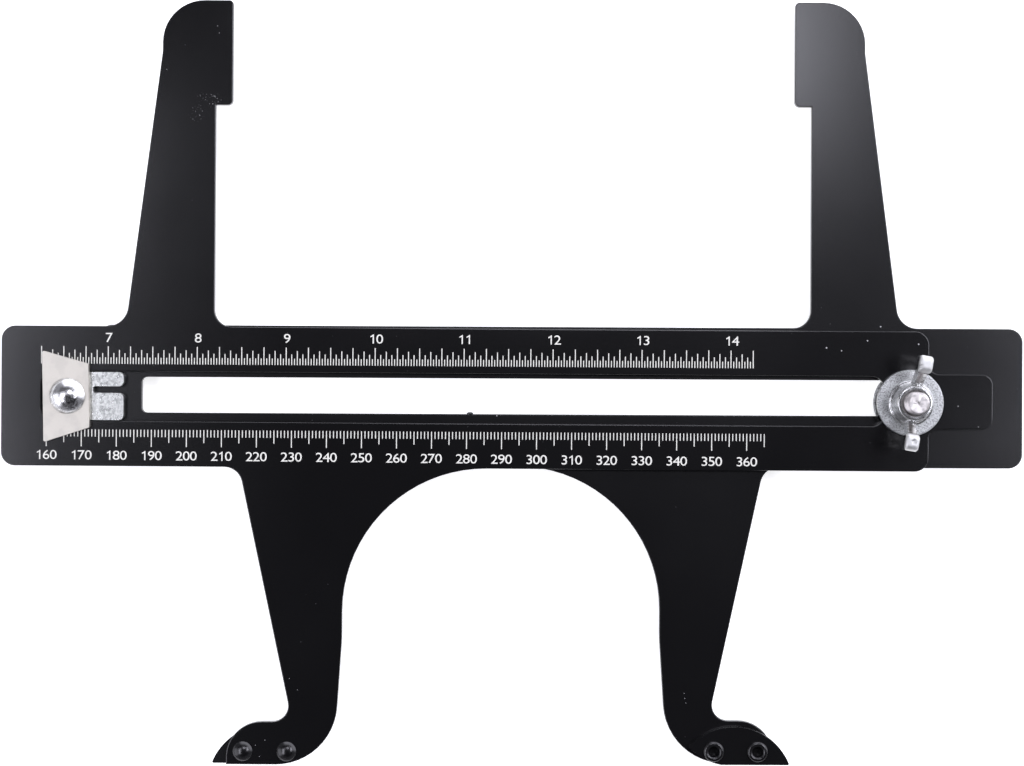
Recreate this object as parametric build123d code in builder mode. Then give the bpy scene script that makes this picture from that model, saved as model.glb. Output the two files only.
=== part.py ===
from build123d import *
import os
from math import cos, pi, radians, sin, sqrt, tan

# Brake drum gauge: two flat bars slide on each other, each with a jaw arm above and a
# footed leg below. It lies on its back, with +X along the bars, +Y towards the jaws and
# +Z up to the reader. Lengths are in millimetres, angles in degrees.

# How far the gauge is opened, from where its guide meets the end of the front slot
opening = 1.1

# Overall sizes of a bar
jaw_to_end = 65.6
bar_length = 265.0
bar_height = 40.0
plate_thickness = 2.0
bar_corner_radius = 4.0
edge_roll = 0.25

# Lie of the rear bar against the front bar, from the play of the slots
rear_bar_rise = 0.67
rear_bar_turn = 0.12

# Tongue at the near end of a bar
tongue_length = 18.2
tongue_width = 15.6
tongue_corner_radius = 3.0
tongue_root_radius = 3.0

# Jaw arm, measured outwards from the jaw face and up from the middle of the bar
arm_top = 113.3
arm_head_width = 20.1
arm_head_length = 14.6
arm_foot_width = 30.2
arm_head_radius = 12.0
jaw_length = 29.9
jaw_step = 4.85
jaw_top_radius = 1.2
jaw_bottom_radius = 1.5
arm_outer_root_radius = 6.0
arm_inner_root_radius = 5.0

# Leg, measured inwards from where its outer edge leaves the bar
front_leg_from_end = 68.0
rear_leg_from_end = 74.0
sole_depth = 104.9
leg_lean = 12.16
leg_root_radius = 5.2
ankle_radius = 4.6
instep_height = 12.2
toe_setback = 3.1
toe_radius = 10.2
heel_from_root = 27.5
calf_from_root = 29.8
knee_depth = 69.0
knee_radius = 40.0
heel_radius = 17.6
arch_radius = 41.0

# Hardened tip riveted to each foot
tip_arc_radius = 16.9
tip_arc_from_root = 8.3
tip_arc_below_sole = 6.1
tip_heel_overhang = 0.3
tip_point_radius = 0.4

# Rivets of the foot tips: domed head on the bar, rolled tubular tail on the tip
toe_rivet_from_root = 1.7
heel_rivet_from_root = 14.2
foot_rivet_above_sole = 3.8
foot_rivet_radius = 1.9
foot_rivet_bore = 1.2
foot_rivet_bore_depth = 2.6
foot_rivet_head_radius = 2.8
foot_rivet_head_height = 1.5
foot_rivet_head_rim = 0.3
rolled_tail_radius = 2.95
rolled_tail_crest = 2.3
rolled_tail_height = 0.9
rolled_tail_rim = 0.25

# Slots, measured from both ends of the bar
slot_from_far_end = 11.4
slot_from_near_end = 12.6
front_slot_width = 14.3
front_slot_radius = 4.0
rear_slot_width = 10.2
rear_slot_radius = 1.5

# Forked guide on the rear tongue, which runs in the front slot
guide_side_clearance = 0.3
guide_from_tongue_end = 3.7
guide_length = 22.5
guide_proud = 0.1
guide_corner_radius = 1.4
guide_slit_radius = 0.6
guide_slit_length = 8.7
guide_slit_width = 1.9
guide_slit_offset = 1.85

# Pointer over the guide
pointer_overhang = 0.2
pointer_width = 13.1
pointer_reading_height = 26.1
pointer_inner_height = 18.1
pointer_thickness = 1.5
pointer_corner_radius = 0.5
pointer_turn = 1.2

# Rivet through pointer, guide and rear tongue
pointer_rivet_from_guide_end = 6.75
pointer_rivet_radius = 2.5
pointer_rivet_head_radius = 5.1
pointer_rivet_head_height = 3.0
pointer_rivet_head_rim = 0.35
pointer_rivet_tail_radius = 4.0
pointer_rivet_tail_height = 1.2
pointer_rivet_tail_edge = 0.5
rivet_clearance = 0.05

# Clamp: bolt from the back, washers and wing nut
bolt_from_near_end = 5.6
bolt_below_middle = 0.38
bolt_radius = 3.175
bolt_length = 18.5
bolt_end_chamfer = 0.5
bolt_centre_radius = 0.5
bolt_centre_depth = 0.4
bolt_head_across_flats = 10.0
bolt_head_height = 4.0
bolt_head_crown = 0.45
hole_clearance = 0.2
thread_clearance = 0.05
washer_radius = 9.5
washer_thickness = 1.6
washer_edge = 0.2

# Wing nut
nut_flange_radius = 6.5
nut_flange_height = 1.1
nut_hub_foot_radius = 5.8
nut_hub_top_radius = 4.9
nut_hub_height = 6.7
nut_hub_edge = 0.4
nut_bore_chamfer = 0.5
nut_turn = 9.6
web_thickness = 2.6
web_draft = 6.0
web_foot_height = 1.2
web_top_inset = 0.9
web_reach = 1.6
ear_thickness = 3.8
ear_inner_radius = 8.6
ear_outer_radius = 13.5
ear_bottom = 6.4
ear_top = 12.6
ear_corner_radius = 1.7
ear_edge_radius = 0.8

# Levels above the surface that the gauge lies on
rear_washer_z = bolt_head_height
rear_plate_z = rear_washer_z + washer_thickness
front_plate_z = rear_plate_z + plate_thickness
front_face_z = front_plate_z + plate_thickness
pointer_z = front_face_z + guide_proud
nut_z = front_face_z + washer_thickness

# Distance between the jaw faces: the guide sits near the end of the rear bar's tongue, so
# the gauge is closed when it meets the end of the front slot
closed_reach = bar_length + tongue_length + slot_from_far_end - guide_from_tongue_end
jaw_gap = closed_reach - 2 * jaw_to_end + opening

# Middle line of the front bar: the origin lies midway between the rear jaw's tip, which is
# the higher one, and the front foot's sole
rear_turn = radians(rear_bar_turn)
rear_arm_crown = jaw_gap / 2 + arm_head_width - arm_head_radius
rear_arm_top = arm_top + rear_bar_rise + rear_arm_crown * sin(rear_turn)
bar_y = (sole_depth - rear_arm_top) / 2

# Places along the front bar, whose far end is on the left
far_end = -(jaw_gap / 2 + jaw_to_end)
near_end = far_end + bar_length
jaw_face = -jaw_gap / 2
bar_top = bar_height / 2
sole_y = -sole_depth
bolt_x = near_end - bolt_from_near_end
bolt_place = (bolt_x, -bolt_below_middle)
guide_end = guide_from_tongue_end - near_end - tongue_length
pointer_rivet_x = guide_end + pointer_rivet_from_guide_end
front_leg_root = far_end + front_leg_from_end
rear_leg_root = far_end + rear_leg_from_end
rivet_y = sole_y + foot_rivet_above_sole

# A cut or a base that has to pass through a face runs this far beyond it
spare = 5.0


def level(z):
    """Plane parallel to the bars, with its origin on the front bar's middle line."""
    return Plane((0, bar_y, z))


def rear_level(z):
    """Plane of the rear bar at a height. The bar turns about its jaw, which keeps its place."""
    jaw_middle = arm_top - jaw_length / 2
    origin = (jaw_middle * sin(rear_turn), bar_y + rear_bar_rise, z)
    return Plane(origin, x_dir=(cos(rear_turn), sin(rear_turn), 0))


def half_section(plane, x, y=0, up=1):
    """Plane through an upright axis at a point of a plane, with its local y along the axis."""
    base = plane.from_local_coords(Vector(x, y))
    return Plane(origin=base, x_dir=(1, 0, 0), z_dir=(0, -up, 0))


def nearest(builder, x, y):
    """The corner of a sketch that lies nearest to a point."""
    return builder.vertices().sort_by_distance((x, y, 0))[0]


def arm_outline():
    """Jaw arm of the front bar, with its neck behind the jaw and its taper outside."""
    head_x = jaw_face - arm_head_width
    neck_x = jaw_face - jaw_step
    jaw_bottom = arm_top - jaw_length
    with BuildSketch() as arm:
        with BuildLine():
            Polyline(
                (jaw_face - arm_foot_width, bar_top),
                (head_x, arm_top - arm_head_length),
                (head_x, arm_top),
                (jaw_face, arm_top),
                (jaw_face, jaw_bottom),
                (neck_x, jaw_bottom),
                (neck_x, bar_top - spare),
                (jaw_face - arm_foot_width, bar_top - spare),
                close=True,
            )
        make_face()
        fillet(nearest(arm, head_x, arm_top), arm_head_radius)
        fillet(nearest(arm, jaw_face, arm_top), jaw_top_radius)
        fillet(nearest(arm, jaw_face, jaw_bottom), jaw_bottom_radius)
    return arm.sketch


def leg_outline(root_x):
    """Leg and foot: the inner edge runs into an arch that ends flush with the bar."""
    instep_y = sole_y + instep_height
    ankle_x = root_x + (-bar_top - instep_y) * tan(radians(leg_lean))
    toe_x = root_x - toe_setback
    heel_x = root_x + heel_from_root
    calf_x = root_x + calf_from_root
    arch_y = -bar_top - arch_radius
    lean_above = spare * tan(radians(leg_lean))
    with BuildSketch() as leg:
        with BuildLine():
            Polyline(
                (calf_x, arch_y),
                (calf_x, -knee_depth),
                (heel_x, sole_y),
                (toe_x, sole_y),
                (toe_x, instep_y),
                (ankle_x, instep_y),
                (root_x - lean_above, -bar_top + spare),
                (calf_x + arch_radius, -bar_top + spare),
                (calf_x + arch_radius, -bar_top),
            )
            RadiusArc((calf_x + arch_radius, -bar_top), (calf_x, arch_y), -arch_radius)
        make_face()
        fillet(nearest(leg, calf_x, -knee_depth), knee_radius)
        fillet(nearest(leg, heel_x, sole_y), heel_radius)
        fillet(nearest(leg, toe_x, instep_y), toe_radius)
        fillet(nearest(leg, ankle_x, instep_y), ankle_radius)
    return leg.sketch


def bar_outline(leg_root):
    """One bar with its tongue, arm and leg, its far end on the left."""
    tongue_end = near_end + tongue_length
    with BuildSketch() as outline:
        with Locations(((far_end + near_end) / 2, 0)):
            RectangleRounded(bar_length, bar_height, bar_corner_radius)
        with Locations((near_end + (tongue_length - spare) / 2, 0)):
            Rectangle(tongue_length + spare, tongue_width)
        for side in (1, -1):
            fillet(nearest(outline, tongue_end, side * tongue_width / 2), tongue_corner_radius)
            fillet(nearest(outline, near_end, side * tongue_width / 2), tongue_root_radius)
        add(arm_outline())
        fillet(nearest(outline, jaw_face - arm_foot_width, bar_top), arm_outer_root_radius)
        fillet(nearest(outline, jaw_face - jaw_step, bar_top), arm_inner_root_radius)
        add(leg_outline(leg_root))
        fillet(nearest(outline, leg_root, -bar_top), leg_root_radius)
        with Locations(*foot_rivet_places(leg_root)):
            Circle(foot_rivet_radius + rivet_clearance, mode=Mode.SUBTRACT)
    return outline.sketch


def foot_rivet_places(leg_root):
    """Toe rivet first, then heel rivet."""
    return [(leg_root + toe_rivet_from_root, rivet_y), (leg_root + heel_rivet_from_root, rivet_y)]


def tip_outline(leg_root):
    """Foot tip: a broad arc above, the sole and the heel's curve below, a sharp toe."""
    arc_centre = (leg_root + tip_arc_from_root, sole_y - tip_arc_below_sole)
    reach = sqrt(tip_arc_radius**2 - tip_arc_below_sole**2)
    toe_x = arc_centre[0] - reach
    # The heel of the foot, seen as a circle that touches the sole and the leg's inner edge
    calf_lean = (calf_from_root - heel_from_root) / (sole_depth - knee_depth)
    half_angle = (pi / 2 + calf_lean) / 2
    heel_centre_x = leg_root + heel_from_root - heel_radius * tan(half_angle)
    width = 2 * tip_arc_radius
    with BuildSketch() as foot_field:
        with Locations((heel_centre_x, sole_y + heel_radius)):
            Circle(heel_radius + tip_heel_overhang)
        with Locations((heel_centre_x - width / 2, sole_y + width / 2)):
            Rectangle(width, width)
    with BuildSketch() as tip:
        with Locations(arc_centre):
            Circle(tip_arc_radius)
        add(foot_field.sketch, mode=Mode.INTERSECT)
        with Locations((arc_centre[0], sole_y + width / 2)):
            Rectangle(2 * width, width, mode=Mode.INTERSECT)
        fillet(nearest(tip, toe_x, sole_y), tip_point_radius)
        with Locations(*foot_rivet_places(leg_root)):
            Circle(foot_rivet_radius + rivet_clearance, mode=Mode.SUBTRACT)
    return tip.sketch


def slot_outline(width, radius):
    """Slot of a bar whose far end is on the left."""
    start = far_end + slot_from_far_end
    end = near_end - slot_from_near_end
    with BuildSketch() as slot:
        with Locations(((start + end) / 2, 0)):
            RectangleRounded(end - start, width, radius)
    return slot.sketch


def front_rims(builder):
    """Edges of the front face along the outline and the slot, not those of the holes."""
    front = builder.faces().sort_by(Axis.Z)[-1]
    return [edge for wire in front.wires() if wire.length > bar_length for edge in wire.edges()]


def dome(radius, rim, height):
    """Arc of a domed head from its rim to its crown, in a half section."""
    rise = height - rim
    RadiusArc((radius, rim), (0, height), -(radius**2 + rise**2) / (2 * rise))


def foot_rivet(section):
    """Semi-tubular rivet with its head on the bar and its tail rolled over on the tip."""
    tip_face = -2 * plate_thickness
    tail_end = tip_face - rolled_tail_height
    bore_end = tail_end + foot_rivet_bore_depth
    curl_inside = (foot_rivet_bore + rolled_tail_rim, tip_face - rolled_tail_rim)
    with BuildPart() as rivet:
        with BuildSketch(section):
            with BuildLine():
                dome(foot_rivet_head_radius, foot_rivet_head_rim, foot_rivet_head_height)
                Polyline(
                    (foot_rivet_head_radius, foot_rivet_head_rim),
                    (foot_rivet_head_radius, 0),
                    (foot_rivet_radius, 0),
                    (foot_rivet_radius, tip_face),
                    (rolled_tail_radius, tip_face),
                    (rolled_tail_radius, tip_face - rolled_tail_rim),
                )
                ThreePointArc(
                    (rolled_tail_radius, tip_face - rolled_tail_rim),
                    (rolled_tail_crest, tail_end),
                    curl_inside,
                )
                Polyline(
                    curl_inside,
                    (foot_rivet_bore, tip_face + rolled_tail_rim),
                    (foot_rivet_bore, bore_end),
                    (0, bore_end),
                    (0, foot_rivet_head_height),
                )
            make_face()
        revolve(axis=Axis(section.origin, section.y_dir))
    return rivet.part


def washer(z):
    """Flat washer round the clamp bolt."""
    with BuildPart() as ring:
        with BuildSketch(level(z)):
            with Locations(bolt_place):
                Circle(washer_radius)
                Circle(bolt_radius + hole_clearance, mode=Mode.SUBTRACT)
        extrude(amount=washer_thickness)
        chamfer(ring.edges().filter_by(GeomType.CIRCLE), washer_edge)
    return ring.part


# Front bar, which carries the graduations
with BuildPart() as front_plate:
    with BuildSketch(level(front_plate_z)):
        add(bar_outline(front_leg_root))
        add(slot_outline(front_slot_width, front_slot_radius), mode=Mode.SUBTRACT)
        with Locations(bolt_place):
            Circle(bolt_radius + hole_clearance, mode=Mode.SUBTRACT)
    extrude(amount=plate_thickness)
    fillet(front_rims(front_plate), edge_roll)
front_plate.part.label = "front_plate"

# Rear bar, turned left for right, with a narrower slot and its leg nearer the middle
with BuildPart() as rear_plate:
    with BuildSketch(rear_level(rear_plate_z)):
        mirror(bar_outline(rear_leg_root), about=Plane.YZ)
        rear_slot = slot_outline(rear_slot_width, rear_slot_radius)
        mirror(rear_slot, about=Plane.YZ, mode=Mode.SUBTRACT)
    extrude(amount=plate_thickness)
    with BuildSketch(level(rear_plate_z)):
        with Locations((pointer_rivet_x, 0)):
            Circle(pointer_rivet_radius + rivet_clearance)
    extrude(amount=plate_thickness, mode=Mode.SUBTRACT)
    fillet(front_rims(rear_plate), edge_roll)
rear_plate.part.label = "rear_plate"

# Foot tips: the front bar's lies behind its foot, the rear bar's lies in front
with BuildPart() as front_foot_tip:
    with BuildSketch(level(rear_plate_z)):
        add(tip_outline(front_leg_root))
    extrude(amount=plate_thickness)
front_foot_tip.part.label = "front_foot_tip"

with BuildPart() as rear_foot_tip:
    with BuildSketch(rear_level(front_plate_z)):
        mirror(tip_outline(rear_leg_root), about=Plane.YZ)
    extrude(amount=plate_thickness)
rear_foot_tip.part.label = "rear_foot_tip"

# Guide: a forked plate that fills the front slot and stands slightly proud of it
guide_tip = guide_end + guide_length
guide_half = front_slot_width / 2 - guide_side_clearance
with BuildPart() as guide:
    with BuildSketch(level(front_plate_z)) as guide_profile:
        with Locations(((guide_end + guide_tip) / 2, 0)):
            Rectangle(guide_length, 2 * guide_half)
        with Locations((guide_tip - guide_slit_length / 2, guide_slit_offset)):
            Rectangle(guide_slit_length, guide_slit_width, mode=Mode.SUBTRACT)
        for side in (1, -1):
            slit_side = guide_slit_offset + side * guide_slit_width / 2
            slit_root = nearest(guide_profile, guide_tip - guide_slit_length, slit_side)
            fillet(slit_root, guide_slit_radius)
            fillet(nearest(guide_profile, guide_tip, slit_side), guide_corner_radius)
            fillet(nearest(guide_profile, guide_tip, side * guide_half), guide_corner_radius)
            nose = nearest(guide_profile, guide_end, side * guide_half)
            fillet(nose, front_slot_radius - guide_side_clearance)
        with Locations((pointer_rivet_x, 0)):
            Circle(pointer_rivet_radius + rivet_clearance, mode=Mode.SUBTRACT)
    extrude(amount=plate_thickness + guide_proud)
guide.part.label = "guide"

# Pointer: its tall left edge is the reading edge, and it sits slightly askew on its rivet
askew = radians(pointer_turn)
pointer_plane = Plane((pointer_rivet_x, bar_y, pointer_z), x_dir=(cos(askew), sin(askew), 0))
reading_edge = -(pointer_rivet_from_guide_end + pointer_overhang)
inner_edge = reading_edge + pointer_width
with BuildPart() as pointer:
    with BuildSketch(pointer_plane) as pointer_profile:
        with BuildLine():
            Polyline(
                (reading_edge, pointer_reading_height / 2),
                (inner_edge, pointer_inner_height / 2),
                (inner_edge, -pointer_inner_height / 2),
                (reading_edge, -pointer_reading_height / 2),
                close=True,
            )
        make_face()
        fillet(pointer_profile.vertices(), pointer_corner_radius)
        Circle(pointer_rivet_radius + rivet_clearance, mode=Mode.SUBTRACT)
    extrude(amount=pointer_thickness)
pointer.part.label = "pointer"

# Rivet that joins pointer, guide and rear tongue
rivet_section = half_section(level(pointer_z + pointer_thickness), pointer_rivet_x)
rivet_grip = -(pointer_thickness + guide_proud + 2 * plate_thickness)
rivet_tail = rivet_grip - pointer_rivet_tail_height
with BuildPart() as pointer_rivet:
    with BuildSketch(rivet_section) as rivet_profile:
        with BuildLine():
            dome(pointer_rivet_head_radius, pointer_rivet_head_rim, pointer_rivet_head_height)
            Polyline(
                (pointer_rivet_head_radius, pointer_rivet_head_rim),
                (pointer_rivet_head_radius, 0),
                (pointer_rivet_radius, 0),
                (pointer_rivet_radius, rivet_grip),
                (pointer_rivet_tail_radius, rivet_grip),
                (pointer_rivet_tail_radius, rivet_tail),
                (0, rivet_tail),
                (0, pointer_rivet_head_height),
            )
        make_face()
        tail_corner = nearest(rivet_profile, pointer_rivet_tail_radius, rivet_tail)
        fillet(tail_corner, pointer_rivet_tail_edge)
    revolve(axis=Axis(rivet_section.origin, rivet_section.y_dir))
pointer_rivet.part.label = "pointer_rivet"

# Clamp bolt: hexagon head at the back, chamfered and centre-marked end at the front
bolt_section = half_section(level(0), *bolt_place)
bolt_axis = Axis(bolt_section.origin, (0, 0, 1))
head_corner = bolt_head_across_flats / sqrt(3)
bolt_end = bolt_head_height + bolt_length
with BuildPart() as clamp_bolt:
    with BuildSketch(level(0)):
        with Locations(bolt_place):
            RegularPolygon(bolt_head_across_flats / 2, 6, major_radius=False)
    extrude(amount=bolt_head_height)
    with BuildSketch(bolt_section):
        with BuildLine():
            Polyline(
                (0, 0),
                (bolt_head_across_flats / 2 - bolt_head_crown, 0),
                (head_corner, bolt_head_crown),
                (head_corner, bolt_head_height),
                (0, bolt_head_height),
                close=True,
            )
        make_face()
    revolve(axis=bolt_axis, mode=Mode.INTERSECT)
    with BuildSketch(bolt_section):
        with BuildLine():
            Polyline(
                (0, bolt_head_height),
                (bolt_radius, bolt_head_height),
                (bolt_radius, bolt_end - bolt_end_chamfer),
                (bolt_radius - bolt_end_chamfer, bolt_end),
                (bolt_centre_radius, bolt_end),
                (0, bolt_end - bolt_centre_depth),
                close=True,
            )
        make_face()
    revolve(axis=bolt_axis)
clamp_bolt.part.label = "clamp_bolt"

rear_washer = washer(rear_washer_z)
rear_washer.label = "rear_washer"
front_washer = washer(front_face_z)
front_washer.label = "front_washer"

# Wing nut: a flanged conical hub with two webs that rise to thick ears
turned = radians(nut_turn)
wing_section = Plane(
    (bolt_x, bar_y - bolt_below_middle, nut_z),
    x_dir=(sin(turned), cos(turned), 0),
    z_dir=(cos(turned), -sin(turned), 0),
)
nut_bore = bolt_radius + thread_clearance
bore_mouth = nut_bore + nut_bore_chamfer
ear_centre = ((ear_inner_radius + ear_outer_radius) / 2, (ear_bottom + ear_top) / 2)
with BuildPart() as wing_nut:
    with BuildSketch(wing_section):
        with Locations(ear_centre, (-ear_centre[0], ear_centre[1])):
            RectangleRounded(ear_outer_radius - ear_inner_radius, ear_top - ear_bottom, ear_corner_radius)
    extrude(amount=ear_thickness / 2, both=True)
    fillet(wing_nut.edges(), ear_edge_radius)
    with BuildSketch(wing_section):
        with BuildLine():
            Polyline(
                (0, web_foot_height),
                (nut_hub_foot_radius, web_foot_height),
                (ear_centre[0] + web_reach, ear_centre[1] - web_reach),
                (ear_centre[0] + web_reach, ear_centre[1] + web_reach),
                (ear_centre[0] - web_reach, ear_centre[1] + web_reach),
                (nut_hub_top_radius, nut_hub_height - web_top_inset),
                (0, nut_hub_height - web_top_inset),
                close=True,
            )
        make_face()
        mirror(about=Plane.YZ)
    extrude(amount=web_thickness / 2, both=True, taper=web_draft)
    with BuildSketch(wing_section) as hub_profile:
        with BuildLine():
            Polyline(
                (0, 0),
                (nut_flange_radius, 0),
                (nut_flange_radius, nut_flange_height),
                (nut_hub_foot_radius, nut_flange_height),
                (nut_hub_top_radius, nut_hub_height),
                (0, nut_hub_height),
                close=True,
            )
        make_face()
        fillet(nearest(hub_profile, nut_flange_radius, nut_flange_height), nut_hub_edge)
        fillet(nearest(hub_profile, nut_hub_top_radius, nut_hub_height), nut_hub_edge)
    revolve(axis=bolt_axis)
    with BuildSketch(wing_section):
        with BuildLine():
            Polyline(
                (0, 0),
                (bore_mouth, 0),
                (nut_bore, nut_bore_chamfer),
                (nut_bore, nut_hub_height - nut_bore_chamfer),
                (bore_mouth, nut_hub_height),
                (bore_mouth, nut_hub_height + spare),
                (0, nut_hub_height + spare),
                close=True,
            )
        make_face()
    revolve(axis=bolt_axis, mode=Mode.SUBTRACT)
wing_nut.part.label = "wing_nut"

# Foot rivets: heads in front on the front bar, behind on the rear bar
foot_rivets = {}
for kind, front_place, rear_place in zip(
    ("toe", "heel"), foot_rivet_places(front_leg_root), foot_rivet_places(rear_leg_root)
):
    front_axis = half_section(level(front_face_z), *front_place)
    rear_axis = half_section(rear_level(rear_plate_z), -rear_place[0], rear_place[1], up=-1)
    foot_rivets[f"front_{kind}_rivet"] = foot_rivet(front_axis)
    foot_rivets[f"rear_{kind}_rivet"] = foot_rivet(rear_axis)

os.makedirs("parts", exist_ok=True)
export_step(front_plate.part, "parts/front_plate.step")
export_step(rear_plate.part, "parts/rear_plate.step")
export_step(front_foot_tip.part, "parts/front_foot_tip.step")
export_step(rear_foot_tip.part, "parts/rear_foot_tip.step")
export_step(guide.part, "parts/guide.step")
export_step(pointer.part, "parts/pointer.step")
export_step(pointer_rivet.part, "parts/pointer_rivet.step")
export_step(clamp_bolt.part, "parts/clamp_bolt.step")
export_step(rear_washer, "parts/rear_washer.step")
export_step(front_washer, "parts/front_washer.step")
export_step(wing_nut.part, "parts/wing_nut.step")
for name, rivet in foot_rivets.items():
    rivet.label = name
    export_step(rivet, f"parts/{name}.step")
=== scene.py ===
import math
import random

import bmesh
import bpy
from mathutils import Matrix, Vector


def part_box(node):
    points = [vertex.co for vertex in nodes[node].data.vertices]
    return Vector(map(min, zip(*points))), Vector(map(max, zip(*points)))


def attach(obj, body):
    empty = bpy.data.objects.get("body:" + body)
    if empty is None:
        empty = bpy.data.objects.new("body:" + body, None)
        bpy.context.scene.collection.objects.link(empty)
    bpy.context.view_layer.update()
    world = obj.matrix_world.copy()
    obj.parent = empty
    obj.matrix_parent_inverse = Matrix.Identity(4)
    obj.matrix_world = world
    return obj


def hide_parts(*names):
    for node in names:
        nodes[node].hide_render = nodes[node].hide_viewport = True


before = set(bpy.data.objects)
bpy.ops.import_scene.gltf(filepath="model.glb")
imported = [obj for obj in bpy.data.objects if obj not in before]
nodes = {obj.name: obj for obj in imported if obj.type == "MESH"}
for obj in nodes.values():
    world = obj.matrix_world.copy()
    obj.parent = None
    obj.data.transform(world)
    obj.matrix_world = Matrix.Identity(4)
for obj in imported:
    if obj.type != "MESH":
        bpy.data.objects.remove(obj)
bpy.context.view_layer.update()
mm = 0.001
random.seed(7)


# Socket sums: an expression on a Socket adds its Math nodes
class Socket:
    def __init__(self, finish, out):
        self.finish = finish
        self.out = out

    def math(self, operation, first, second=None):
        links = {0: first} if second is None else {0: first, 1: second}
        return self.finish.node("Math", {"operation": operation}, links)

    def __add__(self, other):
        return self.math("ADD", self, other)

    def __radd__(self, other):
        return self.math("ADD", other, self)

    def __sub__(self, other):
        return self.math("SUBTRACT", self, other)

    def __rsub__(self, other):
        return self.math("SUBTRACT", other, self)

    def __mul__(self, other):
        return self.math("MULTIPLY", self, other)

    def __rmul__(self, other):
        return self.math("MULTIPLY", other, self)

    def __lt__(self, other):
        return self.math("LESS_THAN", self, other)

    def __gt__(self, other):
        return self.math("GREATER_THAN", self, other)

    def most(self, other):
        return self.math("MAXIMUM", self, other)

    def ramp(self, low, high, toLow=0.0, toHigh=1.0):
        return self.finish.node("MapRange", {"interpolation_type": "SMOOTHSTEP"}, {
            "Value": self, "From Min": low, "From Max": high, "To Min": toLow, "To Max": toHigh})


class Finish:
    def __init__(self, holder, output="OutputMaterial", shader="BsdfPrincipled"):
        self.material = holder
        self.material.use_nodes = True
        self.tree = self.material.node_tree
        self.tree.nodes.clear()
        self.output = self.tree.nodes.new("ShaderNode" + output)
        self.shader = self.tree.nodes.new("ShaderNode" + shader)
        self.tree.links.new(self.shader.outputs[0], self.output.inputs[0])

    # any node: its settings are set first, then the values or links of its sockets
    def node(self, kind, settings=None, links=None, out=0):
        made = self.tree.nodes.new("ShaderNode" + kind)
        for key, value in (settings or {}).items():
            setattr(made, key, value)
        for key, value in (links or {}).items():
            self.feed(made.inputs[key], value)
        return Socket(self, made.outputs[out])

    def feed(self, socket, value):
        if isinstance(value, Socket):
            self.tree.links.new(value.out, socket)
        else:
            socket.default_value = (*value, 1.0) if socket.type == "RGBA" and len(value) == 3 else value

    def shade(self, **values):
        for key, value in values.items():
            self.feed(self.shader.inputs[key.replace("_", " ")], value)

    # the place on the object, or that place stretched along its axes
    def place(self, stretch=None):
        at = self.node("TexCoord", out="Object")
        return self.node("Mapping", {}, {"Vector": at, "Scale": stretch}) if stretch else at

    def noise(self, at, scale, detail=2.0, rough=0.5):
        return self.node("TexNoise", {}, {"Vector": at, "Scale": scale, "Detail": detail, "Roughness": rough})

    def blend(self, amount, first, second):
        # sockets 6 and 7 of a colour Mix are its A and B, and its output 2 is the colour
        return self.node("Mix", {"data_type": "RGBA"}, {0: amount, 6: first, 7: second}, out=2)

    def bump(self, height, strength, distance):
        return self.node("Bump", {}, {"Height": height, "Strength": strength, "Distance": distance})

    # 1 within the core of a spot, which is this share of its radius, and 0 outside its rim
    def spot(self, at, centre, radius, core=0.6):
        away = self.node("VectorMath", {"operation": "DISTANCE"}, {0: at, 1: centre}, out="Value")
        return away.ramp(radius * core, radius, 1.0, 0.0)


# Black paint, with a light orange peel, dust and small chips
paintLook = {
    "colour": (0.0035, 0.0034, 0.0039),
    "dustColour": (0.09, 0.09, 0.095),
    "chipColour": (0.5, 0.5, 0.5),
    "roughness": {"frontPaint": 0.185, "rearPaint": 0.22, "tipPaint": 0.22, "rivetPaint": 0.24},
    "ior": 1.56,
    "peelScale": 900.0, "peelDepth": 0.02 * mm, "peelStrength": 0.35,
    "cloudScale": 24.0, "cloudRange": 0.08,
    "dustScale": 330.0, "dustSize": 0.045, "dustStrength": 0.5, "patchScale": 90.0, "patchShare": 0.6,
    "scuffStretch": (1.3, 0.8, 1.0), "scuffScale": 2300.0, "scuffStrength": 0.6,
}


# chips are pale spots (place, radius); scuffs hold many small ones (place, radius, how sparse)
def blackPaint(name, chips=(), scuffs=()):
    look = paintLook
    paint = Finish(bpy.data.materials.new(name))
    at = paint.place()
    peel = paint.noise(at, look["peelScale"])
    cloud = paint.noise(at, look["cloudScale"], detail=3.0)
    cell = paint.node("TexVoronoi", {"feature": "F1"}, {"Vector": at, "Scale": look["dustScale"]},
                      out="Distance")
    patch = paint.noise(at, look["patchScale"], detail=0.0)
    dust = (cell < look["dustSize"]) * (patch > look["patchShare"])
    mark = None
    for centre, radius in chips:
        one = paint.spot(at, centre, radius)
        mark = one if mark is None else mark.most(one)
    for centre, radius, sparse in scuffs:
        flecks = paint.noise(paint.place(look["scuffStretch"]), look["scuffScale"], detail=1.0)
        one = paint.spot(at, centre, radius) * (flecks > sparse) * look["scuffStrength"]
        mark = one if mark is None else mark.most(one)
    colour = paint.blend(dust * look["dustStrength"], look["colour"], look["dustColour"])
    if mark is not None:
        colour = paint.blend(mark, colour, look["chipColour"])
    glossiest = look["roughness"][name] - look["cloudRange"] / 2
    paint.shade(Base_Color=colour, Roughness=cloud * look["cloudRange"] + glossiest, IOR=look["ior"],
                Normal=paint.bump(peel, look["peelStrength"], look["peelDepth"]))
    return paint.material


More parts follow.
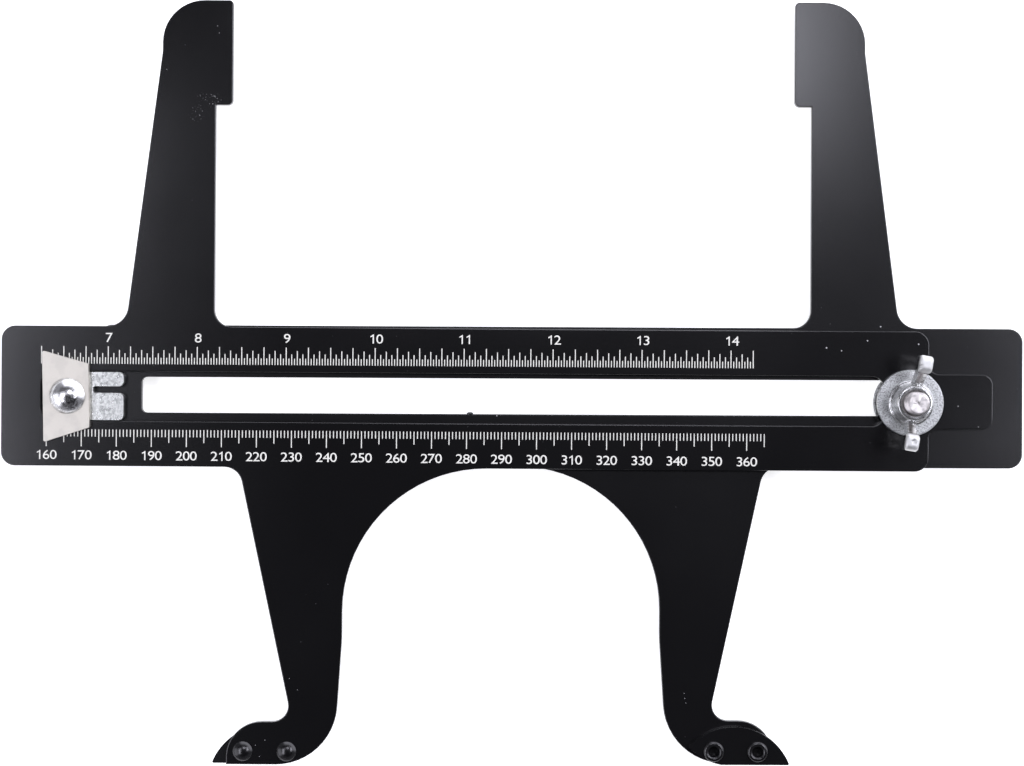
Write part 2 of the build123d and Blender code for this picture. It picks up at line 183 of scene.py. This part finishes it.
# Bare metals: scale and depth (in mm) of their grain, scale and amount of their darker blotches
metalLooks = {
    "satin": {"colour": (0.655, 0.625, 0.565), "rough": 0.56, "grain": 2600.0, "depth": 0.012,
              "blotch": 260.0, "stain": 0.1},
    "polished": {"colour": (0.80, 0.80, 0.80), "rough": 0.25, "grain": 1100.0, "depth": 0.03,
                 "blotch": 700.0, "stain": 0.3},
    "boltZinc": {"colour": (0.66, 0.625, 0.615), "rough": 0.45, "grain": 900.0, "depth": 0.045,
                 "blotch": 700.0, "stain": 0.5},
    "castZinc": {"colour": (0.60, 0.60, 0.595), "rough": 0.25, "grain": 500.0, "depth": 0.05,
                 "blotch": 600.0, "stain": 0.6},
    "washerZinc": {"colour": (0.56, 0.57, 0.57), "rough": 0.42, "grain": 1500.0, "depth": 0.03,
                   "blotch": 2600.0, "stain": 1.0},
}
# wear: stains and pits; the top values paint a part's top paler, as painted light, and make it duller
wearAndLitTopLook = {
    "roughRange": 0.16, "bumpStrength": 0.6,
    "stainColour": (0.2, 0.2, 0.2), "stainFades": (0.44, 0.64), "pitScale": 1500.0, "pitFades": (0.4, 0.55),
    "litTopColour": (0.70, 0.70, 0.69), "litTopShare": 0.8, "topDullness": 0.32, "litTopFade": 1.0 * mm,
}


# marks are dark spots (place, radius) of real pits and painted dark reflection; whatever stands higher than
# the top level is painted paler (painted light on the top) and is duller
def bareMetal(name, marks=(), litTopLevel=None):
    look = metalLooks[name]
    metal = Finish(bpy.data.materials.new(name))
    at = metal.place()
    grain = metal.noise(at, look["grain"], detail=3.0, rough=0.65)
    blotch = metal.noise(at, look["blotch"], detail=3.0, rough=0.6)
    dark = blotch.ramp(*wearAndLitTopLook["stainFades"]) * look["stain"]
    # each mark is a dark spot of real pits and a painted dark reflection on that side of the dome
    for centre, radius in marks:
        pits = metal.noise(at, wearAndLitTopLook["pitScale"], detail=3.0, rough=0.7).ramp(*wearAndLitTopLook["pitFades"])
        dark = dark.most(metal.spot(at, centre, radius) * pits)
    colour = metal.blend(dark, look["colour"], wearAndLitTopLook["stainColour"])
    glossiest = look["rough"] - wearAndLitTopLook["roughRange"] / 2
    rough = grain * wearAndLitTopLook["roughRange"] + glossiest
    # painted light: above the top level the colour is painted paler, as if the top were lit more, and it is
    # also made duller
    if litTopLevel is not None:
        high = metal.node("SeparateXYZ", {}, {0: at}, out="Z").ramp(litTopLevel - wearAndLitTopLook["litTopFade"], litTopLevel)
        colour = metal.blend(high * wearAndLitTopLook["litTopShare"], colour, wearAndLitTopLook["litTopColour"])
        rough = rough + high * wearAndLitTopLook["topDullness"]
    metal.shade(Base_Color=colour, Metallic=1.0, Roughness=rough,
                Normal=metal.bump(grain, wearAndLitTopLook["bumpStrength"], look["depth"] * mm))
    return metal.material


# Galvanised sheet, with its spangle
spangleLook = {
    "light": (0.80, 0.81, 0.78), "dark": (0.05, 0.055, 0.055), "scale": 1900.0, "stretch": (1.0, 0.7, 1.0),
    "warpScale": 2200.0, "cellShare": 0.55, "warpShare": 0.6, "lighter": 0.22,
    "depth": 0.02 * mm, "bumpStrength": 0.5, "rough": 0.26, "roughRange": 0.2,
}


def galvanisedSheet(name):
    look = spangleLook
    sheet = Finish(bpy.data.materials.new(name))
    at = sheet.place(look["stretch"])
    warp = sheet.noise(sheet.place(), look["warpScale"], rough=0.6)
    cell = sheet.node("TexVoronoi", {"feature": "F1"}, {"Vector": at, "Scale": look["scale"]}, out="Color")
    shade = sheet.node("SeparateColor", {}, {0: cell}, out=0)
    amount = shade * look["cellShare"] + warp * look["warpShare"] - look["lighter"]
    sheet.shade(Base_Color=sheet.blend(amount, look["light"], look["dark"]), Metallic=1.0,
                Roughness=shade * look["roughRange"] + look["rough"],
                Normal=sheet.bump(warp, look["bumpStrength"], look["depth"]))
    return sheet.material


# Printed graduations: pale ink, slightly uneven
inkLook = {"fresh": (0.88, 0.87, 0.80), "worn": (0.44, 0.435, 0.40), "rough": 0.55,
           "wearScale": 1400.0, "wearFades": (0.35, 0.75), "wear": 0.35}


def paleInk(name):
    ink = Finish(bpy.data.materials.new(name))
    wear = ink.noise(ink.place(), inkLook["wearScale"]).ramp(*inkLook["wearFades"]) * inkLook["wear"]
    ink.shade(Base_Color=ink.blend(wear, inkLook["fresh"], inkLook["worn"]), Roughness=inkLook["rough"])
    return ink.material


# from the front plate's lowest point up to the middle line of its bar
soleToBar = 104.9 * mm
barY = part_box("front_plate")[0].y + soleToBar
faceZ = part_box("front_plate")[1].z
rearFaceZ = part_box("rear_plate")[1].z

# Small marks in the paint, in millimetres: along the bar, up from its middle line, radius
frontMarks = [(89.6, 15.2, 0.28), (93.9, 14.4, 0.22), (101.3, 17.3, 0.24), (115.9, 16.4, 0.24),
              (127.3, -1.2, 0.16), (133.1, -7.1, 0.13), (-60.8, -83.5, 0.11), (-63.1, -80.3, 0.11),
              (-72.7, -99.4, 0.11), (-70.0, -97.9, 0.11), (-71.5, -102.6, 0.11), (-84.9, 105.9, 0.11),
              (-84.4, 103.9, 0.11), (-99.3, 93.4, 0.11)]
rearMarks = [(105.4, 21.4, 0.25), (-4.4, -4.9, 0.2), (50.3, -86.8, 0.11), (50.0, -85.5, 0.11),
             (49.8, -84.1, 0.11)]
armScuffs = [(-90.9, 80.6, 2.6, 0.69), (-88.9, 84.9, 2.2, 0.69), (-85.8, 84.7, 2.4, 0.67)]


def onFace(level, marks):
    return [((x * mm, barY + y * mm, level), radius * mm, *rest) for x, y, radius, *rest in marks]


# Worn metal and painted light, in millimetres: the spot of real pits and painted dark reflection from the
# dome's middle, and how deep the tops of the nut's ears are painted paler
wornAndPaintedLightPlaces = {"domeX": 1.5, "domeY": -1.9, "domeRadius": 3.3, "earDepth": 1.2}
domeLow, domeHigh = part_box("pointer_rivet")
nutLow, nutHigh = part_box("wing_nut")
domeMiddle = (domeLow + domeHigh) / 2
pitsAndPaintedReflection = (domeMiddle.x + wornAndPaintedLightPlaces["domeX"] * mm, domeMiddle.y + wornAndPaintedLightPlaces["domeY"] * mm, domeHigh.z)

frontPaint = blackPaint("frontPaint", onFace(faceZ, frontMarks), onFace(faceZ, armScuffs))
rearPaint = blackPaint("rearPaint", onFace(rearFaceZ, rearMarks))
tipPaint, rivetPaint = blackPaint("tipPaint"), blackPaint("rivetPaint")
satin, boltZinc, washerZinc = (bareMetal(name) for name in ("satin", "boltZinc", "washerZinc"))
# the dome gets a dark spot of real pits and a painted dark reflection on its lower right
polished = bareMetal("polished", [(pitsAndPaintedReflection, wornAndPaintedLightPlaces["domeRadius"] * mm)])
# the tops of the nut's ears are painted paler, as painted light
castZinc = bareMetal("castZinc", litTopLevel=nutHigh.z - wornAndPaintedLightPlaces["earDepth"] * mm)
galvanised = galvanisedSheet("galvanised")
scaleInk = paleInk("scaleInk")
print("materials")

finishOf = {
    "front_plate": frontPaint, "rear_plate": rearPaint, "front_foot_tip": tipPaint, "rear_foot_tip": tipPaint,
    "front_toe_rivet": rivetPaint, "front_heel_rivet": rivetPaint, "rear_toe_rivet": rivetPaint,
    "rear_heel_rivet": rivetPaint, "guide": galvanised, "pointer": satin, "pointer_rivet": polished,
    "clamp_bolt": boltZinc, "rear_washer": washerZinc, "front_washer": washerZinc, "wing_nut": castZinc,
}
for name, material in finishOf.items():
    nodes[name].data.materials.clear()
    nodes[name].data.materials.append(material)

# Pressed and sheared pieces get slightly softened edges, this wide in millimetres
softEdges = {"pointer": 0.14, "guide": 0.12, "rear_washer": 0.15, "front_washer": 0.15,
             "front_foot_tip": 0.12, "rear_foot_tip": 0.12}
weldReach = 0.002 * mm                      # joins the loose triangles of a solid
sharpFrom = 40                              # degrees between two faces, past which their edge is softened
for name, width in softEdges.items():
    weld = nodes[name].modifiers.new("weld", "WELD")
    weld.merge_threshold = weldReach
    edge = nodes[name].modifiers.new("edge", "BEVEL")
    edge.width = width * mm
    edge.segments = 2
    edge.limit_method = "ANGLE"
    edge.angle_limit = math.radians(sharpFrom)
    edge.use_clamp_overlap = True


# a new piece, smooth up to an angle in degrees where one is given
def finishPiece(name, mesh, material, body, smoothTo=None):
    piece = bpy.data.objects.new(name, mesh)
    bpy.context.scene.collection.objects.link(piece)
    piece.data.materials.clear()
    piece.data.materials.append(material)
    if smoothTo is not None:
        piece.data.shade_smooth()
        piece.data.set_sharp_from_angle(angle=math.radians(smoothTo))
    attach(piece, body)
    return piece


def meshOf(bm, name):
    mesh = bpy.data.meshes.new(name)
    bm.to_mesh(mesh)
    bm.free()
    return mesh


def raiseFaces(bm, height):
    grown = bmesh.ops.extrude_face_region(bm, geom=bm.faces[:])["geom"]
    bmesh.ops.translate(bm, verts=[g for g in grown if isinstance(g, bmesh.types.BMVert)], vec=(0, 0, height))
    bmesh.ops.recalc_face_normals(bm, faces=bm.faces)


# Printed scales, in millimetres, with heights above the middle line of the bar. A tick stands between base
# and an end, which goes by the coarsest step that its count is a multiple of.
millimetreScale = {
    "first": 160, "last": 365, "firstX": -133.0, "unit": 1.0, "parts": 1,
    "base": -9.55, "ends": {10: -14.4, 5: -13.25, 1: -11.6},
    "numbers": range(160, 361, 10), "numberY": -16.8, "tilt": -0.0035, "shift": 0.0,
}
inchScale = {
    "first": 6.25, "last": 14.25, "firstX": -134.5, "unit": 25.4, "parts": 32,
    "base": 9.2, "ends": {8: 14.2, 4: 13.2, 2: 12.26, 1: 11.04},
    "numbers": range(7, 15), "numberY": 16.7, "tilt": 0.0013, "shift": 0.25,
}
printing = {"tickWidth": 0.26, "thickness": 0.03, "sunk": 0.01}
inkZ = faceZ + (printing["thickness"] / 2 - printing["sunk"]) * mm


def alongScale(scale, reading):
    return scale["firstX"] + (reading - scale["first"]) * scale["unit"]


def tickRow(name, scale):
    bm = bmesh.new()
    for count in range(int(scale["first"] * scale["parts"]), int(scale["last"] * scale["parts"]) + 1):
        end = next(reach for step, reach in scale["ends"].items() if count % step == 0)
        low, high = sorted((scale["base"], end))
        size = Matrix.Diagonal((printing["tickWidth"] * mm, (high - low) * mm, printing["thickness"] * mm, 1))
        x = alongScale(scale, count / scale["parts"])
        place = Matrix.Translation((x * mm, barY + (low + high) / 2 * mm, inkZ))
        bmesh.ops.create_cube(bm, size=1.0, matrix=place @ size)
    finishPiece(name, meshOf(bm, name), scaleInk, "front_bar")


tickRow("millimetre_ticks", millimetreScale)
tickRow("inch_ticks", inchScale)

# Figures: widen is their width against the font's, pitch their distance in heights; a row is at its numberY
# where it passes tiltFromX
numberLook = {"height": 2.62, "widen": 1.18, "pitch": 0.776, "curveSteps": 4, "tiltFromX": -133.0}

# outline of a figure 1 with a flag, in heights of a figure
flaggedOne = [(0.01, -0.5), (0.145, -0.5), (0.145, 0.5), (0.06, 0.5), (-0.04, 0.4), (-0.235, 0.305),
              (-0.235, 0.175), (0.01, 0.28)]


# any figure, one unit high and one unit thick, with its middle at the origin
def figureMesh(figure):
    if figure == "1":
        bm = bmesh.new()
        bm.faces.new([bm.verts.new((x, y, -0.5)) for x, y in flaggedOne])
        raiseFaces(bm, 1)
        return meshOf(bm, "figure")
    curve = bpy.data.curves.new("figure", "FONT")
    curve.body = figure
    curve.resolution_u = numberLook["curveSteps"]
    curve.extrude = 0.5
    holder = bpy.data.objects.new("figure", curve)
    bpy.context.scene.collection.objects.link(holder)
    bpy.context.view_layer.update()
    mesh = bpy.data.meshes.new_from_object(holder)
    bpy.data.objects.remove(holder)
    low = Vector([min(v.co[axis] for v in mesh.vertices) for axis in range(3)])
    high = Vector([max(v.co[axis] for v in mesh.vertices) for axis in range(3)])
    size = high.y - low.y
    shape = Matrix.Diagonal((numberLook["widen"] / size, 1 / size, 1, 1))
    mesh.transform(shape @ Matrix.Translation(-(low + high) / 2))
    return mesh


figures = {figure: figureMesh(figure) for figure in "0123456789"}


def numberRow(name, scale):
    bm = bmesh.new()
    height, pitch = numberLook["height"], numberLook["pitch"] * numberLook["height"]
    size = Matrix.Diagonal((height * mm, height * mm, printing["thickness"] * mm, 1))
    for number in scale["numbers"]:
        x = alongScale(scale, number) + scale["shift"]
        y = scale["numberY"] + scale["tilt"] * (x - numberLook["tiltFromX"])
        for count, figure in enumerate(str(number)):
            across = x + (count - (len(str(number)) - 1) / 2) * pitch
            mesh = figures[figure].copy()
            mesh.transform(Matrix.Translation((across * mm, barY + y * mm, inkZ)) @ size)
            bm.from_mesh(mesh)
            bpy.data.meshes.remove(mesh)
    finishPiece(name, meshOf(bm, name), scaleInk, "front_bar")


numberRow("millimetre_numbers", millimetreScale)
numberRow("inch_numbers", inchScale)
print("printed scales")

# Wing nut: the solid's shape with a casting's soft corners, and a dent (along, up, radius) in each ear's top,
# made only in the top earDepth of the nut and where its surface looks upwards
nutLook = {"voxel": 0.15, "smoothRounds": 8, "smoothFactor": 0.5, "smoothTo": 60,
           "dents": [(0.2, 10.4, 0.75), (-1.5, -10.6, 0.75)], "dentDepth": 0.5, "earDepth": 3, "upwards": 0.3}
bm = bmesh.new()
bm.from_mesh(nodes["wing_nut"].data)
bmesh.ops.remove_doubles(bm, verts=bm.verts, dist=weldReach)
bmesh.ops.recalc_face_normals(bm, faces=bm.faces)
rough = bpy.data.objects.new("nutRough", meshOf(bm, "nutRough"))
bpy.context.scene.collection.objects.link(rough)
remesh = rough.modifiers.new("remesh", "REMESH")
remesh.mode = "VOXEL"
remesh.voxel_size = nutLook["voxel"] * mm
soften = rough.modifiers.new("soften", "SMOOTH")
soften.factor = nutLook["smoothFactor"]
soften.iterations = nutLook["smoothRounds"]
bpy.context.view_layer.update()
nutMesh = bpy.data.meshes.new_from_object(rough.evaluated_get(bpy.context.evaluated_depsgraph_get()))
bpy.data.objects.remove(rough)
nutMiddle = (nutLow + nutHigh) / 2
earBottom = nutHigh.z - nutLook["earDepth"] * mm
for x, y, radius in nutLook["dents"]:
    for v in nutMesh.vertices:
        away = math.hypot(v.co.x - nutMiddle.x - x * mm, v.co.y - nutMiddle.y - y * mm) / (radius * mm)
        if away < 1 and v.co.z > earBottom and v.normal.z > nutLook["upwards"]:
            v.co.z -= nutLook["dentDepth"] * mm * (1 - away ** 2)
wingNut = finishPiece("cast_wing_nut", nutMesh, castZinc, "clamp_nut", nutLook["smoothTo"])
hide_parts("wing_nut")
print("wing nut")

# Clamp bolt: hexagon head, and rolled thread up to the chamfered end, which has a dimple. The thread starts
# deeper in the head than it is cut off, so that it is whole there.
boltLook = {
    "pitch": 1.27, "rootRadius": 2.5, "crestRadius": 3.16, "turnSteps": 36, "hiddenTurns": 1.5, "sunk": 0.2,
    "headRadius": 5.7735, "headHeight": 4.0, "headTurn": 30, "headEdge": 0.35,
    "chamfer": 0.45, "dimpleInset": 2.15, "dimpleDepth": 0.35, "smoothTo": 35,
}
boltLow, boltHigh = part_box("clamp_bolt")
boltX, boltY = (boltLow.x + boltHigh.x) / 2, (boltLow.y + boltHigh.y) / 2
bm = bmesh.new()
pitch, root, crest = boltLook["pitch"] * mm, boltLook["rootRadius"] * mm, boltLook["crestRadius"] * mm
headTop = boltLook["headHeight"] * mm
startZ = headTop - boltLook["hiddenTurns"] * pitch
# section of one thread: radius, and height in pitches
section = [(root, 0.0), (root, 0.12), (crest, 0.44), (crest, 0.56), (root, 0.88), (root, 1.0)]
threadVerts = [bm.verts.new((boltX + r, boltY, startZ + part * pitch)) for r, part in section]
threadEdges = [bm.edges.new(pair) for pair in zip(threadVerts, threadVerts[1:])]
turns = math.ceil((boltHigh.z - startZ) / pitch) + 1
bmesh.ops.spin(bm, geom=threadVerts + threadEdges, cent=(boltX, boltY, 0), axis=(0, 0, 1),
               dvec=(0, 0, pitch / boltLook["turnSteps"]), angle=turns * math.tau,
               steps=turns * boltLook["turnSteps"], use_merge=False, use_duplicate=False)
bmesh.ops.remove_doubles(bm, verts=bm.verts, dist=0.01 * mm)
for level, below in ((boltHigh.z, False), (headTop - boltLook["sunk"] * mm, True)):
    bmesh.ops.bisect_plane(bm, geom=bm.verts[:] + bm.edges[:] + bm.faces[:], dist=0.0001 * mm,
                           plane_co=(0, 0, level), plane_no=(0, 0, 1),
                           clear_outer=not below, clear_inner=below)
rim = [e for e in bm.edges if e.is_boundary]
endEdges = [e for e in rim if all(abs(v.co.z - boltHigh.z) < 0.005 * mm for v in e.verts)]
footEdges = [e for e in rim if e not in endEdges]
endFaces = bmesh.ops.contextual_create(bm, geom=endEdges)["faces"]
bmesh.ops.contextual_create(bm, geom=footEdges)
for v in bm.verts:                          # the chamfer cuts the last threads down
    allowed = crest - max(0.0, v.co.z - (boltHigh.z - boltLook["chamfer"] * mm))
    away = Vector((v.co.x - boltX, v.co.y - boltY))
    if away.length > allowed:
        away *= allowed / away.length
        v.co.x, v.co.y = boltX + away.x, boltY + away.y
bmesh.ops.inset_region(bm, faces=endFaces, thickness=boltLook["dimpleInset"] * mm, use_even_offset=False)
dimple = bmesh.ops.poke(bm, faces=[f for f in bm.faces if f in endFaces and f.is_valid])
for v in dimple["verts"]:
    v.co = Vector((boltX, boltY, boltHigh.z - boltLook["dimpleDepth"] * mm))
bmesh.ops.recalc_face_normals(bm, faces=bm.faces)
threadMesh = meshOf(bm, "boltThread")
bm = bmesh.new()
turned = Matrix.Rotation(math.radians(boltLook["headTurn"]), 4, "Z")
bmesh.ops.create_circle(bm, cap_ends=True, cap_tris=False, segments=6, radius=boltLook["headRadius"] * mm,
                        matrix=Matrix.Translation((boltX, boltY, 0)) @ turned)
raiseFaces(bm, headTop)
bmesh.ops.bevel(bm, geom=bm.edges[:], offset=boltLook["headEdge"] * mm, affect="EDGES", segments=3,
                profile=0.5, material=-1)
bm.from_mesh(threadMesh)
bpy.data.meshes.remove(threadMesh)
threadedBolt = finishPiece("threaded_bolt", meshOf(bm, "threadedBolt"), boltZinc, "front_bar",
                           boltLook["smoothTo"])
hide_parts("clamp_bolt")
print("clamp bolt")

# A burr of paint that stands on the lower edge of the rear slot; y is from the middle line of the bar
burrLook = {"x": -12.1, "y": -4.35, "sunk": 0.35, "size": (1.9, 0.95, 0.9), "lumps": 0.03, "smoothTo": 180}
bm = bmesh.new()
burrMiddle = (burrLook["x"] * mm, barY + burrLook["y"] * mm, rearFaceZ - burrLook["sunk"] * mm)
burrSize = Matrix.Diagonal((*[s * mm for s in burrLook["size"]], 1))
bmesh.ops.create_icosphere(bm, subdivisions=3, radius=0.5, matrix=Matrix.Translation(burrMiddle) @ burrSize)
for v in bm.verts:
    v.co += Vector([random.uniform(-burrLook["lumps"], burrLook["lumps"]) * mm for _ in range(3)])
finishPiece("paint_burr", meshOf(bm, "paintBurr"), rearPaint, "rear_bar", burrLook["smoothTo"])
print("burr")

# Stage: white floor that keeps the shadow, soft boxes overhead, a room with one bright side and dark ceiling.
# Sizes are in metres, the floor's level in millimetres, and where the walls end and the ceiling starts in
# degrees above the horizon.
stageLook = {"floorSize": 6.0, "floorLevel": -0.02, "floorColour": (0.86, 0.86, 0.86), "floorRough": 0.9,
             "floorLift": 0.72, "dimWalls": 0.25, "brightWalls": 2.8, "brightSide": (0.57, 0.82, 0.0),
             "sideFades": (0.35, 0.65), "ceiling": 0.02, "wallsEnd": 28.0, "ceilingStart": 42.0,
             "light": (0.965, 0.97, 1.08), "boxHeight": 0.75}
bm = bmesh.new()
bmesh.ops.create_grid(bm, x_segments=1, y_segments=1, size=stageLook["floorSize"] / 2,
                      matrix=Matrix.Translation((0, 0, stageLook["floorLevel"] * mm)))
floorPiece = bpy.data.objects.new("floor", meshOf(bm, "floor"))
bpy.context.scene.collection.objects.link(floorPiece)
floorFinish = Finish(bpy.data.materials.new("floorPaper"))
rays = [floorFinish.node("LightPath", out=f"Is {kind} Ray") for kind in ("Camera", "Glossy", "Transmission")]
seen = rays[0].most(rays[1]).most(rays[2])
floorFinish.shade(Base_Color=stageLook["floorColour"], Roughness=stageLook["floorRough"])
glow = floorFinish.node("Emission", {}, {"Color": (1.0, 1.0, 1.0), "Strength": seen * stageLook["floorLift"]})
paper = Socket(floorFinish, floorFinish.shader.outputs[0])
floorFinish.feed(floorFinish.output.inputs[0], floorFinish.node("AddShader", {}, {0: paper, 1: glow}))
floorPiece.data.materials.append(floorFinish.material)

room = Finish(bpy.data.worlds.new("room"), "OutputWorld", "Background")
towards = room.node("TexCoord", out="Generated")
upward = room.node("SeparateXYZ", {}, {0: towards}, out="Z")
side = room.node("VectorMath", {"operation": "DOT_PRODUCT"}, {0: towards, 1: stageLook["brightSide"]},
                 out="Value")
wallTop, ceilingRim = (math.sin(math.radians(stageLook[key])) for key in ("wallsEnd", "ceilingStart"))
walls = side.ramp(*stageLook["sideFades"], stageLook["dimWalls"], stageLook["brightWalls"])
room.shade(Color=stageLook["light"],
           Strength=walls * upward.ramp(wallTop, ceilingRim, 1.0, 0.0) + stageLook["ceiling"])
bpy.context.scene.world = room.material

# place, width, depth and radiance of each soft box; those overhead face straight down, the lower the gauge
overhead = stageLook["boxHeight"]
softBoxes = {
    "leftBox": ((-0.485, -0.186, overhead), 0.229, 0.631, 6.2),
    "smallLeftBox": ((-0.353, 0.131, overhead), 0.150, 0.122, 4.1),
    "upperBox": ((0.063, 0.248, overhead), 0.276, 0.163, 8.5),
    "rightBox": ((0.563, 0.137, overhead), 0.252, 0.513, 9.9),
    "leftWindow": ((-0.90, -0.30, 0.45), 0.85, 0.65, 1.6),
}
for name, (spot, width, depth, radiance) in softBoxes.items():
    lamp = bpy.data.lights.new(name, "AREA")
    lamp.shape = "RECTANGLE"
    lamp.size, lamp.size_y = width, depth
    lamp.color = stageLook["light"]
    lamp.energy = radiance * math.pi * width * depth
    holder = bpy.data.objects.new(name, lamp)
    holder.location = spot
    if spot[2] < overhead:
        holder.rotation_euler = (-Vector(spot)).to_track_quat("-Z", "Y").to_euler()
    bpy.context.scene.collection.objects.link(holder)

# Camera: straight down, as the photograph was taken; its place is in millimetres, its roll in degrees
cameraLook = {"height": 560.0, "x": -0.13, "y": -0.1, "roll": 0.4, "lens": 67.773, "sensor": 36.0,
              "clip": (0.01, 50)}
cameraData = bpy.data.cameras.new("camera")
cameraData.lens = cameraLook["lens"]
cameraData.sensor_width = cameraLook["sensor"]
cameraData.clip_start, cameraData.clip_end = cameraLook["clip"]
camera = bpy.data.objects.new("camera", cameraData)
camera.location = (cameraLook["x"] * mm, cameraLook["y"] * mm, cameraLook["height"] * mm)
camera.rotation_euler = (0, 0, math.radians(cameraLook["roll"]))
bpy.context.scene.collection.objects.link(camera)
bpy.context.scene.camera = camera
bpy.context.scene.view_settings.view_transform = "Standard"
print("stage, lamps and camera")
